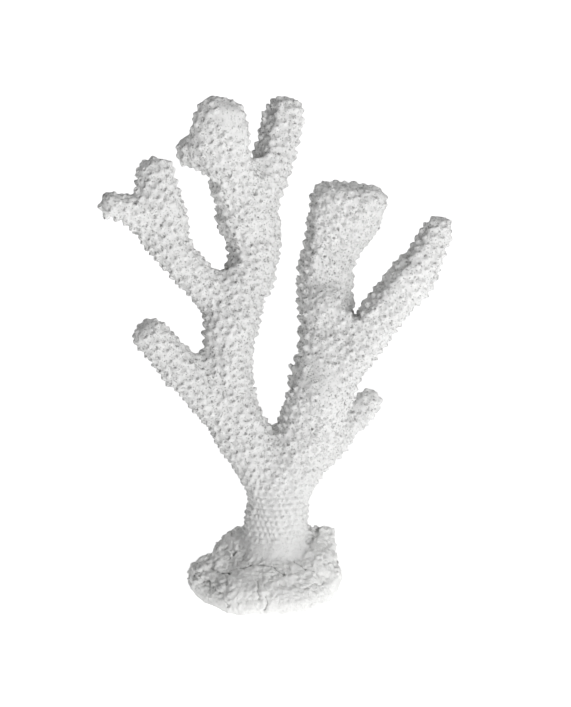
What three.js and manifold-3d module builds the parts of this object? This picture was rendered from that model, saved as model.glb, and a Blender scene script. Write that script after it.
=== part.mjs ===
// Staghorn coral on its rocky holdfast, in millimetres, +Z up.
// The origin is the centre of the flat underside of the holdfast, and -Y is the front.
//
// Every limb is one loft of oval sections along a smooth centreline. A limb that forks keeps the
// first stretch of each of its branches, so that a fork stays whole, and each branch begins as a
// piece of its own at a flat face just above the fork, with a small gap.

import * as THREE from "three";
import { mergeVertices } from "three/addons/utils/BufferGeometryUtils.js";
import Module from "manifold-3d";

const wasm = await Module();
wasm.setup();

// Driving dimensions.
const GAP = 0.3; // between two pieces that meet
const RING_STEP = 8.5; // about how far apart the sections of a limb are
const LUMP_LENGTH = 34; // along a limb, from one swelling to the next
const BASE_RADIUS = 43; // of the largest lump of the holdfast
const UNDER_FLOOR = { width: 200, depth: 60 }; // the block that cuts the holdfast off flat

// Shares, counts and angles.
const LUMP_SHARE = 0.035; // how far a limb swells and narrows, as a share of its radius
const SECTION_SIDES = 16;
const SECTION_POWER = 2.3; // 2 is an ellipse, and more is squarer
const RIDGE_SPREAD = 0.45; // half the width of a ridge, in radians round the section
const TIP_RINGS = 3;
const TIP_TURN = Math.PI / 2 / (TIP_RINGS + 0.4); // from one ring of a rounded tip to the next
const TIP_POWER = 0.75; // 1 rounds a tip off as an ellipse, and less makes it blunter
const LUMP_SIDES = 16;
const LUMP_RINGS = 10;
const LENGTH_STEPS = 400; // for measuring along a centreline
const MERGE_DISTANCE = 1e-4;

// Each station is [x, y, z, half width, half depth]. The width lies across the limb as seen from
// the front, and the depth runs front to back. start is a distance along the centreline: the
// limb's own piece begins there, and the stretch before it belongs to its parent. tip is the
// length of the rounded end beyond the last station. A ridge runs along the limb at an angle
// round its section, where 0 is the right side, 90 the back, 180 the left and 270 the front.
// A knob is a fused swelling, [x, y, z, radius x, radius y, radius z].
const LIMBS = {
  trunk: {
    parent: "holdfast",
    start: 26,
    tip: 9,
    stations: [
      [2, 0, 4, 30, 30],
      [3, -1, 20, 22.5, 21],
      [6, 0, 36, 18, 17.5],
      [6.3, 0, 50, 17.5, 17],
      [7.5, 0, 61, 17.8, 17],
      [8, 0, 74, 23, 17.5],
      [6.5, 1, 92.5, 15, 15],
    ],
  },
  left_stem: {
    parent: "trunk",
    start: 50,
    tip: 6,
    stations: [
      [3, 0, 60, 10, 13],
      [-3, -1, 77, 13, 14.5],
      [-11.4, -2, 96, 15.4, 15],
      [-20.8, -3, 119, 14.3, 14.5],
      [-22, -3, 147, 13.5, 13.5],
      [-19.5, -1, 168, 15.6, 13.5],
      [-16.4, 2, 189, 15.6, 13],
    ],
  },
  lower_left_finger: {
    parent: "left_stem",
    start: 22,
    tip: 8,
    stations: [
      [-22, -3, 112.5, 12.2, 12],
      [-38.5, -8, 130, 12, 12],
      [-54.5, -13, 147.5, 11, 10.5],
      [-66.8, -16, 162.5, 10, 9.5],
    ],
  },
  upper_left_arm: {
    parent: "left_stem",
    start: 25,
    tip: 5,
    stations: [
      [-18.5, 0, 170.5, 10.8, 11],
      [-34.4, -3, 187.6, 10.6, 10.5],
      [-49.4, -6, 205, 10.4, 10.5],
      [-59, -8, 219.5, 12, 10.5],
    ],
  },
  upper_left_finger: {
    parent: "upper_left_arm",
    start: 12,
    tip: 8,
    stations: [
      [-56, -8, 216, 11.2, 10],
      [-58.2, -10, 233, 12.4, 10.5],
      [-62, -12, 249, 11.7, 10],
      [-63.6, -12, 256.5, 10.4, 9.5],
    ],
  },
  outer_left_finger: {
    parent: "upper_left_arm",
    start: 17,
    tip: 6,
    stations: [
      [-57, -7, 219, 10, 9.5],
      [-75, -15, 234.5, 8.6, 8],
      [-88, -20, 238.5, 7.2, 7.5],
    ],
  },
  centre_stem: {
    parent: "left_stem",
    start: 16,
    tip: 6,
    stations: [
      [-14.5, 2, 186, 15, 13],
      [-6, 5, 207, 15.4, 13.5],
      [-5.6, 6, 217, 16, 13.5],
      [-10.8, 4, 228.5, 17.8, 13.5],
      [-11.5, 2, 240, 19.6, 13.5],
      [-9, 1, 251, 18, 12.5],
    ],
  },
  centre_left_head: {
    parent: "centre_stem",
    start: 21,
    tip: 6,
    stations: [
      [-12, 2, 240, 13.5, 12],
      [-20.2, -4, 256, 15.5, 13],
      [-25.4, -9, 270, 16.2, 13],
      [-25.4, -13, 282, 15.6, 12],
      [-24, -15, 292, 12.8, 10],
    ],
    knobs: [[-38, -7, 268.5, 12, 10, 10.5]],
  },
  centre_right_finger: {
    parent: "centre_stem",
    start: 21,
    tip: 8,
    ridge: { angle: 245, height: 0.12 },
    stations: [
      [-2, 3, 243, 11.5, 11],
      [4, 7, 261, 11.4, 10.5],
      [8, 11, 275, 11.7, 10.5],
      [11.3, 14, 290, 10.5, 9.5],
    ],
  },
  right_stem: {
    parent: "trunk",
    start: 48,
    tip: 6,
    ridge: { angle: 235, height: 0.1 },
    stations: [
      [14, 0, 60, 10, 13],
      [18, -1, 77, 14.5, 15],
      [24, -2, 96, 17, 16],
      [31, -5, 119, 18.2, 17],
      [35.3, -5, 133, 18.8, 17],
      [38, -3, 147, 19.2, 16],
      [39, -2, 156, 17.5, 15],
    ],
    knobs: [[32, -15, 126, 12, 11, 17]],
  },
  right_upright: {
    parent: "right_stem",
    start: 26,
    tip: 9,
    ridge: { angle: 235, height: 0.14 },
    stations: [
      [35.5, 2, 146, 14, 13],
      [35.5, 5, 170, 14.8, 13],
      [35, 7, 189, 15.8, 13.5],
      [37.4, 7, 206, 15.6, 14],
      [41.3, 5, 218, 17, 14.5],
      [45.5, 2, 230, 21.3, 14.5],
      [48, 1, 240, 22.6, 13.5],
    ],
    knobs: [[59.5, -1, 239, 11.5, 11, 12.5]],
  },
  right_long_branch: {
    parent: "right_stem",
    start: 30,
    tip: 9,
    ridge: { angle: 235, height: 0.14 },
    stations: [
      [41, -4, 134, 12, 12],
      [55.3, -7, 154.5, 11.8, 11.5],
      [68.5, -10, 175, 12.6, 11],
      [83, -11, 192.8, 13.2, 10],
      [93.7, -9, 209, 10.4, 8.5],
      [100.5, -6, 222, 7.2, 7],
    ],
  },
  lower_right_finger: {
    parent: "trunk",
    start: 24,
    tip: 8,
    stations: [
      [30, 5, 83, 8.5, 9],
      [44.8, 12, 98.6, 8.5, 9],
      [56, 18, 110, 8.3, 8.5],
      [61.6, 20, 114.8, 7.5, 8],
    ],
  },
};

// The holdfast is a heap of fused lumps, each [x, y, z, radius x, radius y, radius z].
const LUMPS = [
  [0, -3, 8, BASE_RADIUS, BASE_RADIUS, 21],
  [-28, -7, 13, 19, 20, 14.5],
  [29, -2, 13.5, 17, 24, 18.5],
  [33, 11, 28.5, 10, 9, 10],
  [21, 13, 27, 12, 11, 11],
  [-4, -25.5, 9, 30, 21, 14],
  [-14, 7, 21.5, 18.5, 18, 17],
  [4, 18, 12, 28, 20, 15],
];

const BONE_WHITE = 0xe4e4e2;
const ROCK_WHITE = 0xe8e8e6;
const FRONT_TO_BACK = new THREE.Vector3(0, 1, 0);

// A limb's centreline, its half width and half depth as a second curve, and the distance along
// the centreline to each of many even steps.
function spineOf({ stations }) {
  const line = new THREE.CatmullRomCurve3(
    stations.map(([x, y, z]) => new THREE.Vector3(x, y, z)),
  );
  const size = new THREE.CatmullRomCurve3(
    stations.map(([, , , wide, deep]) => new THREE.Vector3(wide, deep, 0)),
    false,
    "catmullrom",
  );
  const lengths = line.getLengths(LENGTH_STEPS);
  return { line, size, lengths, whole: lengths.at(-1) };
}

function parameterAt(lengths, distance) {
  let i = 0;
  while (i < LENGTH_STEPS - 1 && lengths[i + 1] < distance) i += 1;
  const share = (distance - lengths[i]) / (lengths[i + 1] - lengths[i]);
  return THREE.MathUtils.clamp((i + share) / LENGTH_STEPS, 0, 1);
}

// Radius of a rounded, slightly square section in the direction of the angle.
function sectionRadius(angle, wide, deep) {
  const across = Math.abs(Math.cos(angle) / wide) ** SECTION_POWER;
  const through = Math.abs(Math.sin(angle) / deep) ** SECTION_POWER;
  return (across + through) ** (-1 / SECTION_POWER);
}

// The share by which a limb's ridge lifts its section at the angle.
function ridgeAt({ ridge }, angle) {
  if (!ridge) return 0;
  const away = (angle - THREE.MathUtils.degToRad(ridge.angle)) / RIDGE_SPREAD;
  return ridge.height * Math.exp(-away * away);
}

// The points of one section. grow thickens it, and beyond moves it on along the limb.
function ringAt(limb, spine, distance, { grow, shrink = 1, beyond = 0 }) {
  const t = parameterAt(spine.lengths, distance);
  const along = spine.line.getTangent(t);
  const side = FRONT_TO_BACK.clone().cross(along).normalize();
  const back = along.clone().cross(side);
  const middle = spine.line.getPoint(t).addScaledVector(along, beyond);
  const { x: wide, y: deep } = spine.size.getPoint(t);
  const phase = (2 * Math.PI * distance) / LUMP_LENGTH;
  return Array.from({ length: SECTION_SIDES }, (_, k) => {
    const angle = (2 * Math.PI * k) / SECTION_SIDES;
    const swell =
      1 + LUMP_SHARE * Math.sin(phase + 2 * angle) + ridgeAt(limb, angle);
    const radius = (sectionRadius(angle, wide, deep) * swell + grow) * shrink;
    return middle
      .clone()
      .addScaledVector(side, radius * Math.cos(angle))
      .addScaledVector(back, radius * Math.sin(angle));
  });
}

// A closed skin over a list of rings, with a fan of triangles over each end.
function skinOverRings(rings) {
  const sides = rings[0].length;
  const centreOf = (ring) =>
    ring
      .reduce((sum, p) => sum.add(p), new THREE.Vector3())
      .divideScalar(sides);
  const points = [...rings.flat(), centreOf(rings[0]), centreOf(rings.at(-1))];
  const first = rings.length * sides;
  const faces = [];
  for (let k = 0; k < sides; k += 1) {
    const next = (k + 1) % sides;
    for (let r = 0; r < rings.length - 1; r += 1) {
      const low = r * sides;
      const high = low + sides;
      faces.push(low + k, low + next, high + next);
      faces.push(low + k, high + next, high + k);
    }
    faces.push(first, next, k);
    faces.push(first + 1, first - sides + k, first - sides + next);
  }
  const geometry = new THREE.BufferGeometry().setFromPoints(points);
  geometry.setIndex(faces);
  return geometry;
}

// One stretch of a limb, between two distances along its centreline, or on to its rounded tip.
function loft(limb, { from = 0, to = Infinity, grow = 0 }) {
  const spine = spineOf(limb);
  const reachesTip = to > spine.whole;
  const last = reachesTip ? spine.whole : to + grow;
  const count = Math.max(2, Math.round((last - from) / RING_STEP));
  const rings = [];
  for (let i = 0; i <= count; i += 1) {
    const distance = from + ((last - from) * i) / count;
    rings.push(ringAt(limb, spine, distance, { grow }));
  }
  for (let i = 1; reachesTip && i <= TIP_RINGS; i += 1) {
    const shrink = Math.cos(i * TIP_TURN) ** TIP_POWER;
    const beyond = (limb.tip + grow) * Math.sin(i * TIP_TURN);
    rings.push(ringAt(limb, spine, last, { grow, shrink, beyond }));
  }
  return solidOf(skinOverRings(rings));
}

function lumpSolid([x, y, z, rx, ry, rz], grow) {
  return solidOf(
    new THREE.SphereGeometry(1, LUMP_SIDES, LUMP_RINGS)
      .rotateX(Math.PI / 2)
      .scale(rx + grow, ry + grow, rz + grow)
      .translate(x, y, z),
  );
}

function solidOf(geometry) {
  const bare = geometry.clone();
  bare.deleteAttribute("normal");
  bare.deleteAttribute("uv");
  const merged = mergeVertices(bare, MERGE_DISTANCE);
  return new wasm.Manifold(
    new wasm.Mesh({
      numProp: 3,
      vertProperties: new Float32Array(merged.attributes.position.array),
      triVerts: new Uint32Array(merged.index.array),
    }),
  );
}

function geometryOf(solid) {
  const { vertProperties, triVerts } = solid.getMesh();
  const geometry = new THREE.BufferGeometry();
  const points = new THREE.BufferAttribute(new Float32Array(vertProperties), 3);
  geometry.setAttribute("position", points);
  geometry.setIndex(new THREE.BufferAttribute(new Uint32Array(triVerts), 1));
  geometry.computeVertexNormals();
  return geometry;
}

function joined(solids) {
  return solids.reduce((whole, solid) => whole.add(solid));
}

// The foot of every branch of a piece, up to the flat face where the branch's own piece begins.
function feetOn(parent, grow) {
  return Object.values(LIMBS)
    .filter((limb) => limb.parent === parent)
    .map((limb) => loft(limb, { to: limb.start, grow }));
}

function limbSolid(name, grow = 0) {
  const limb = LIMBS[name];
  const own = loft(limb, { from: limb.start, grow });
  const knobs = (limb.knobs ?? []).map((knob) => lumpSolid(knob, grow));
  return joined([own, ...knobs, ...feetOn(name, grow)]);
}

function holdfastSolid(grow = 0) {
  const { width, depth } = UNDER_FLOOR;
  const below = new THREE.BoxGeometry(width, width, depth);
  below.translate(0, 0, -depth / 2);
  const lumps = LUMPS.map((lump) => lumpSolid(lump, grow));
  return joined([...lumps, ...feetOn("holdfast", grow)]).subtract(
    solidOf(below),
  );
}

// The largest body of a solid, without the slivers that a cut can leave.
function largestBody(solid) {
  return solid
    .decompose()
    .reduce((best, body) => (body.volume() > best.volume() ? body : best));
}

function addPiece(group, name, solid, color) {
  const material = new THREE.MeshStandardMaterial({
    color,
    roughness: 0.85,
    metalness: 0,
  });
  const mesh = new THREE.Mesh(geometryOf(solid), material);
  mesh.name = name;
  group.add(mesh);
}

// Each piece is cut clear of the pieces placed before it.
const coral = new THREE.Group();
addPiece(coral, "holdfast", holdfastSolid(), ROCK_WHITE);
let placed = holdfastSolid(GAP);
for (const name of Object.keys(LIMBS)) {
  const piece = largestBody(limbSolid(name).subtract(placed));
  addPiece(coral, name, piece, BONE_WHITE);
  placed = placed.add(limbSolid(name, GAP));
}

export default coral;
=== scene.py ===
"""Staghorn coral, bleached white, on the rocky foot that it grew from.

The fixed solids are joined into one shape with rounded forks, and that shape is sculpted as a
distance field: cups in rows over the branches, cracks and ledges in the foot. The skin of the field
is then parted along the solids' own boundaries, so that each piece is a closed mesh.
"""

import heapq
import math
from typing import NamedTuple

import bpy
import numpy as np
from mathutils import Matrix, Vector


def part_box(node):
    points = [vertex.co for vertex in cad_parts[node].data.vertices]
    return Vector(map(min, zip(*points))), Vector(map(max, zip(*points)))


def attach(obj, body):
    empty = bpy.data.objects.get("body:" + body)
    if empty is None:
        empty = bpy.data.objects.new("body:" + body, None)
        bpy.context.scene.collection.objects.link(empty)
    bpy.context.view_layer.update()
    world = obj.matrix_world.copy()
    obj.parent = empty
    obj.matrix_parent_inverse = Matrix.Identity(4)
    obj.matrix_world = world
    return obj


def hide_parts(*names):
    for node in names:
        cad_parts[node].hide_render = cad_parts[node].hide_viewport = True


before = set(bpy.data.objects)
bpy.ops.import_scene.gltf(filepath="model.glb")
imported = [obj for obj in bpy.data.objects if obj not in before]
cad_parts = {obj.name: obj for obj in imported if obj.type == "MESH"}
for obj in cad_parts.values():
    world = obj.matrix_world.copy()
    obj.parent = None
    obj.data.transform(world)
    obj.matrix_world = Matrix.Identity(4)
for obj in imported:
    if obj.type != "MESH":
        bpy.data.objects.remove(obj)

import openvdb
from bpy.props import FloatProperty, FloatVectorProperty, IntProperty, PointerProperty
from bpy.types import Operator, Panel, PropertyGroup
from mathutils import Vector
from mathutils.bvhtree import BVHTree
from mathutils.kdtree import KDTree

bl_info = {
    "name": "Staghorn Coral",
    "version": (1, 0, 0),
    "blender": (4, 5, 0),
    "location": "View3D > Sidebar > Coral",
    "description": "Grows a bleached staghorn coral and its rocky foot around fixed solids",
    "category": "Add Mesh",
}

MM = 0.001
FOOT = "holdfast"
LIMBS = sorted(set(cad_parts) - {FOOT})
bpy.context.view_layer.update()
FRONT = np.array((0.0, -1.0, 0.0))
SEEN_FROM_FRONT = (1.0, 0.0, 1.0)  # leaves out how deep a place lies

# The sculpted skin's mesh, and what is stored on its points and faces.
SKIN = "coral_skin"
CLOSE, WIDE, ROCKY, CREASED = "close_hollow", "wide_hollow", "rockiness", "creased"
OWNER = "owner"
CLOSE_RADIUS, WIDE_RADIUS = 1.3 * MM, 4.0 * MM  # of the surroundings that a hollow is seen in


def box_point(node, across, deep, up):
    """The point at three shares of a solid's box, from its left, its front and its bottom."""
    low, high = (np.array(corner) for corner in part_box(node))
    return low + (high - low) * (across, deep, up)


# ---------------------------------------------------------------------------------------------
# Sizes and colours that a user may change
# ---------------------------------------------------------------------------------------------


class SkinSizes(PropertyGroup):
    """The one skin that covers every piece."""

    step: FloatProperty(
        name="Step", description="Spacing of the finest detail",
        default=0.6 * MM, unit="LENGTH", precision=5)
    fillet: FloatProperty(
        name="Fork Fillet", description="Radius that rounds each fork out",
        default=5.0 * MM, unit="LENGTH", precision=4)
    lumps: FloatProperty(
        name="Lumps", description="Height of the broad swellings of the branches",
        default=0.8 * MM, unit="LENGTH", precision=5)
    grain: FloatProperty(
        name="Grain", description="Height of the fine roughness between the cups",
        default=0.2 * MM, unit="LENGTH", precision=5)


class CupSizes(PropertyGroup):
    """The small tubular cups over the branches."""

    spacing: FloatProperty(
        name="Spacing", description="Distance from a cup to the next on a branch",
        default=4.9 * MM, unit="LENGTH", precision=4)
    trunk_spacing: FloatProperty(
        name="Trunk Spacing", description="Distance from a cup to the next on the trunk",
        default=3.5 * MM, unit="LENGTH", precision=4)
    radius: FloatProperty(
        name="Radius", description="Outer radius of a cup",
        default=1.6 * MM, unit="LENGTH", precision=5)
    height: FloatProperty(
        name="Height", description="How far a cup on the side of a branch stands out",
        default=2.2 * MM, unit="LENGTH", precision=4)
    trunk_rows: FloatProperty(
        name="Trunk Rows", description="Height of the rows of bumps round the trunk",
        default=1.35 * MM, unit="LENGTH", precision=5)
    front_share: FloatProperty(
        name="Front Share", description="Height of the cups on the front, as a share of the others",
        default=0.3, subtype="FACTOR", min=0.0, max=1.0)
    lean: FloatProperty(
        name="Lean", description="How far the cups lean towards the tip of their branch",
        default=1.0, subtype="FACTOR", min=0.0, max=2.0)
    seed: IntProperty(name="Seed", description="Number that sets where the cups grow", default=11)


class FootSizes(PropertyGroup):
    """The rocky foot."""

    relief: FloatProperty(
        name="Relief", description="Height of the rock's ledges and hollows",
        default=1.65 * MM, unit="LENGTH", precision=5)
    crease: FloatProperty(
        name="Crease", description="Depth of the thin creases all over the rock",
        default=1.1 * MM, unit="LENGTH", precision=5)
    crack: FloatProperty(
        name="Crack", description="Half the width of a deep crack",
        default=0.75 * MM, unit="LENGTH", precision=5)


class Finish(PropertyGroup):
    """Colours of the coral."""

    bone: FloatVectorProperty(
        name="Bone", description="Colour of the raised, bleached skeleton",
        subtype="COLOR", size=3, default=(0.74, 0.74, 0.735))
    # The colour of the painted shade in the cups and in the deep hollows between them. The real specks
    # and pores also take this colour.
    hollow: FloatVectorProperty(
        name="Hollow", description="Colour in the cups and deep between them",
        subtype="COLOR", size=3, default=(0.27, 0.27, 0.267))
    rock: FloatVectorProperty(
        name="Rock", description="Colour of the worn rock of the foot",
        subtype="COLOR", size=3, default=(0.84, 0.84, 0.83))
    # The colour of the painted shade in the foot's hollows, creases and cracks. The real specks on the
    # rock also take this colour.
    rock_shade_and_speck_colour: FloatVectorProperty(
        name="Crevice", description="Colour in the cracks of the foot",
        subtype="COLOR", size=3, default=(0.34, 0.34, 0.335))
    grain: FloatProperty(
        name="Surface Grain", description="Height of the finest pores and grains",
        default=1.0 * MM, unit="LENGTH", precision=5)
    roughness: FloatProperty(
        name="Roughness", description="Roughness of the dry skeleton",
        subtype="FACTOR", default=0.88, min=0.0, max=1.0)


class Studio(PropertyGroup):
    """Floor, lights and camera."""

    floor: FloatVectorProperty(
        name="Floor", description="Colour of the floor and the backdrop",
        subtype="COLOR", size=3, default=(0.93, 0.93, 0.93))
    glow: FloatProperty(
        name="Glow", description="Light that the floor and the backdrop give off", default=0.65)
    key: FloatProperty(
        name="Key", description="Power of the large light at the front right",
        unit="POWER", default=15.0)
    back: FloatProperty(
        name="Back", description="Power of the dim light behind the coral",
        unit="POWER", default=0.2)
    room: FloatProperty(
        name="Room", description="Brightness of the room above the front right", default=0.27)
    room_dark: FloatProperty(
        name="Room Dark", description="Brightness of the room at the back left", default=0.0)
    camera_rise: FloatProperty(
        name="Camera Rise", description="Angle at which the camera looks down",
        unit="ROTATION", subtype="ANGLE", default=math.radians(10))
    camera_distance: FloatProperty(
        name="Camera Distance", description="From the camera to the middle of the coral",
        default=1.05, unit="LENGTH")
    lens: FloatProperty(
        name="Lens", description="Focal length on a 36 mm sensor", default=90.3, unit="CAMERA")


# ---------------------------------------------------------------------------------------------
# Numbers that vary in space
# ---------------------------------------------------------------------------------------------


def ease(low, high, value):
    """0 below low, 1 above high, and a smooth step between them."""
    share = np.clip((value - low) / (high - low), 0.0, 1.0)
    return share * share * (3.0 - 2.0 * share)


LATTICE = 64  # steps after which the noise repeats
NOISE_GAIN = 1.6  # that brings the noise to about -1 to 1


def lattice(seed):
    """Random numbers from -1 to 1 on a lattice."""
    shape = (LATTICE, LATTICE, LATTICE)
    return np.random.default_rng(seed).uniform(-1.0, 1.0, shape).astype(np.float32)


def noise(points, length, seed):
    """Smooth noise from about -1 to 1 at the points, with features about length across."""
    table = lattice(seed)
    place = points / length
    cell = np.floor(place).astype(np.int64)
    share = (place - cell).astype(np.float32)
    share = share * share * (3.0 - 2.0 * share)
    total = np.zeros(len(points), np.float32)
    for corner in np.ndindex(2, 2, 2):
        weight = np.prod(np.where(corner, share, 1.0 - share), axis=1)
        at = (cell + corner) % LATTICE
        total += weight * table[at[:, 0], at[:, 1], at[:, 2]]
    return NOISE_GAIN * total


def fractal(points, length, seed, octaves=3):
    """Noise on several scales, each half as large and half as strong as the last."""
    layers = (noise(points, length / 2**k, seed + k) / 2**k for k in range(octaves))
    return sum(layers)


def ridged(points, length, seed, octaves=3):
    """Noise folded into sharp ledges, from 0 to about 1."""
    layers = ((1.0 - abs(noise(points, length / 2**k, seed + k))) / 2**k for k in range(octaves))
    return sum(layers) / (2.0 - 0.5 ** (octaves - 1))


def line_distance(places, route):
    """How far each place is from a line through several points."""
    nearest = np.full(places.shape[:-1], np.inf)
    for start, end in zip(route, route[1:]):
        line = end - start
        share = np.clip((places - start) @ line / (line @ line), 0.0, 1.0)
        away = np.linalg.norm(places - start - share[..., None] * line, axis=-1)
        nearest = np.minimum(nearest, away)
    return nearest


# ---------------------------------------------------------------------------------------------
# Distance fields
# ---------------------------------------------------------------------------------------------


MARGIN = 4  # lattice steps round the distances that are kept
BALL_WINDOW = 1.5  # radii of a ball, within which it may change a field


def smooth_min(a, b, blend):
    """The lower of two distances, with a rounded joint, which joins two shapes."""
    share = np.clip(0.5 + 0.5 * (b - a) / blend, 0.0, 1.0)
    return b + (a - b) * share - blend * share * (1.0 - share)


def smooth_max(a, b, blend):
    """The higher of two distances, with a rounded joint, which cuts one shape out of another."""
    return -smooth_min(-a, -b, blend)


class Skin:
    """A closed skin as arrays: points, four-sided faces and three-sided faces."""

    def __init__(self, points, quads, triangles):
        self.points = points
        self.quads = quads
        self.triangles = triangles

    def corners(self):
        """Every face as a row of four corners. A triangle's last corner is given twice."""
        doubled = np.column_stack((self.triangles, self.triangles[:, 2]))
        return np.concatenate((self.quads, doubled)).astype(np.int64)

    def normals(self):
        corners = self.corners()
        a, b, c, d = (self.points[corners[:, k]] for k in range(4))
        # The second part is small, and gives a quad that is folded flat a normal too.
        faces = np.cross(c - a, d - b) + np.cross(b - a, c - a) * 1e-3
        total = np.zeros_like(self.points)
        for k in range(4):
            for axis in range(3):
                total[:, axis] += np.bincount(corners[:, k], faces[:, axis], len(total))
        return total / (np.linalg.norm(total, axis=1, keepdims=True) + 1e-20)

    def edges(self):
        corners = self.corners()
        pairs = np.concatenate([corners[:, (k, (k + 1) % 4)] for k in range(4)])
        pairs = np.sort(pairs[pairs[:, 0] != pairs[:, 1]], axis=1)
        return np.unique(pairs, axis=0)

    def blurred(self, values, passes):
        """Vectors or places at the points, averaged with their neighbours' along the skin."""
        a, b = self.edges().T
        ends = np.concatenate((a, b))
        count = np.bincount(ends, minlength=len(self.points))[:, None]
        for _ in range(passes):
            given = np.concatenate((values[b], values[a]))
            sums = [np.bincount(ends, given[:, k], len(self.points)) for k in range(3)]
            values = 0.5 * values + 0.5 * np.stack(sums, axis=1) / count
        return values


class Field:
    """Signed distances on an even lattice, below zero inside, that skins can be drawn from."""

    def __init__(self, skin, step, reach):
        self.step = step
        grid = openvdb.FloatGrid.createLevelSetFromPolygons(
            skin.points.astype(np.float32),
            triangles=skin.triangles.astype(np.uint32),
            quads=skin.quads.astype(np.uint32),
            transform=openvdb.createLinearTransform(voxelSize=step),
            halfWidth=reach / step,
        )
        margin = int(reach / step) + MARGIN
        self.low = np.floor(skin.points.min(0) / step).astype(int) - margin
        high = np.ceil(skin.points.max(0) / step).astype(int) + margin
        self.values = np.empty(tuple(high - self.low), np.float32)
        grid.copyToArray(self.values, ijk=tuple(int(v) for v in self.low))

    def skin(self, level=0.0):
        """The skin at a distance, with its faces pointing out."""
        grid = openvdb.FloatGrid(float(self.values.max()))
        grid.transform = openvdb.createLinearTransform(voxelSize=self.step)
        grid.gridClass = openvdb.GridClass.LEVEL_SET
        grid.copyFromArray(self.values, ijk=tuple(int(v) for v in self.low))
        points, triangles, quads = grid.convertToPolygons(isovalue=level)
        return Skin(points.astype(np.float64), quads[:, ::-1], triangles[:, ::-1])

    def soften(self, passes):
        """Averages each value with its neighbours, which rounds the shape's edges off."""
        for _ in range(passes):
            for axis in range(3):
                ahead, behind = np.roll(self.values, -1, axis), np.roll(self.values, 1, axis)
                self.values = 0.25 * (ahead + behind) + 0.5 * self.values

    def near(self, reach):
        """Indices and places of the lattice points near the skin."""
        at = np.nonzero(abs(self.values) < reach)
        return at, (np.stack(at, axis=1) + self.low) * self.step

    def block(self, centre, radius):
        """A window on the lattice round a point, and the places of its lattice points."""
        first = np.floor((centre - radius) / self.step).astype(int) - self.low
        last = np.ceil((centre + radius) / self.step).astype(int) - self.low + 1
        first, last = np.maximum(first, 0), np.minimum(last, self.values.shape)
        window = tuple(slice(a, b) for a, b in zip(first, last))
        axes = [(np.arange(a, b) + low) * self.step for a, b, low in zip(first, last, self.low)]
        return window, np.stack(np.meshgrid(*axes, indexing="ij"), axis=-1)

    def sample(self, values, points):
        """Values of another array on the same lattice, read between its points."""
        place = points / self.step - self.low
        cell = np.floor(place).astype(np.int64)
        share = place - cell
        total = np.zeros(len(points))
        for corner in np.ndindex(2, 2, 2):
            weight = np.prod(np.where(corner, share, 1.0 - share), axis=1)
            at = cell + corner
            total += weight * values[at[:, 0], at[:, 1], at[:, 2]]
        return total

    def add_ball(self, centre, radius, blend):
        """Joins a ball to the shape."""
        window, places = self.block(centre, BALL_WINDOW * radius)
        ball = np.linalg.norm(places - centre, axis=-1) - radius
        self.values[window] = smooth_min(self.values[window], ball, blend)

    def cut_groove(self, route, radius, reach, blend):
        """Cuts a round groove along a route, in a window round the route's second point."""
        window, places = self.block(route[1], reach)
        cut = radius - line_distance(places, route)
        self.values[window] = smooth_max(self.values[window], cut, blend)

    def crowding(self, radius):
        """How much of a cube round each lattice point is solid, from 0 to 1."""
        reach = max(1, round(radius / self.step))
        share = (self.values < 0).astype(np.float32)
        for axis in range(3):
            summed = np.cumsum(share, axis=axis, dtype=np.float32)
            share = (np.roll(summed, -reach, axis) - np.roll(summed, reach + 1, axis))
            share /= 2 * reach + 1
        return share


def solid_soup():
    """Every fixed solid's triangles in one skin, and the number of the solid that each is on."""
    points, triangles, owners, count = [], [], [], 0
    for number, name in enumerate([FOOT, *LIMBS]):
        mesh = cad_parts[name].data
        mesh.calc_loop_triangles()
        own = np.empty(len(mesh.vertices) * 3)
        mesh.vertices.foreach_get("co", own)
        corners = np.empty(len(mesh.loop_triangles) * 3, np.int32)
        mesh.loop_triangles.foreach_get("vertices", corners)
        points.append(own.reshape(-1, 3))
        triangles.append(corners.reshape(-1, 3) + count)
        owners += [number] * len(mesh.loop_triangles)
        count += len(mesh.vertices)
    empty = np.empty((0, 4), np.int64)
    return Skin(np.concatenate(points), empty, np.concatenate(triangles)), owners


# ---------------------------------------------------------------------------------------------
# The shape without its cups
# ---------------------------------------------------------------------------------------------

COARSE_STEP = 1.0 * MM
COARSE_BAND = 4 * COARSE_STEP  # past the fillet in which distances are kept
SOFT_PASSES = 4  # that round off the joined solids, and then their skin
DEEPEST_FILLING = 1.8 * MM  # that a fork's fillet adds to a solid


def round_forks(soup, fillet):
    """Swells the solids until they meet and shrinks them again, which leaves rounded forks."""
    reach = fillet + COARSE_BAND
    swollen = Field(soup, COARSE_STEP, reach).skin(fillet)
    joined = Field(swollen, COARSE_STEP, reach)
    joined.values += fillet
    plain = Field(soup, COARSE_STEP, reach)
    offset = plain.low - joined.low
    window = tuple(slice(first, first + count) for first, count in zip(offset, plain.values.shape))
    joined.values[window] = np.maximum(joined.values[window], plain.values - DEEPEST_FILLING)
    joined.soften(SOFT_PASSES)
    return joined


# Swellings that carry one branch on into the next, each as shares of a box and a radius.
SWELLING_BLEND = 5.0 * MM
SWELLINGS = (
    ("right_upright", (0.34, 0.33, 0.06), 15 * MM),
    ("right_long_branch", (0.0, 0.60, 0.20), 12 * MM),
)

# The groove between the low finger on the right and the stem, as shares of the stem's box.
FINGER_GROOVE = (
    (0.709, 0.217, 0.335), (0.619, 0.195, 0.240), (0.556, 0.130, 0.150), (0.518, 0.188, 0.060),
)
GROOVE_RADIUS, GROOVE_WINDOW, GROOVE_BLEND = 1.9 * MM, 35 * MM, 2.5 * MM

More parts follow.
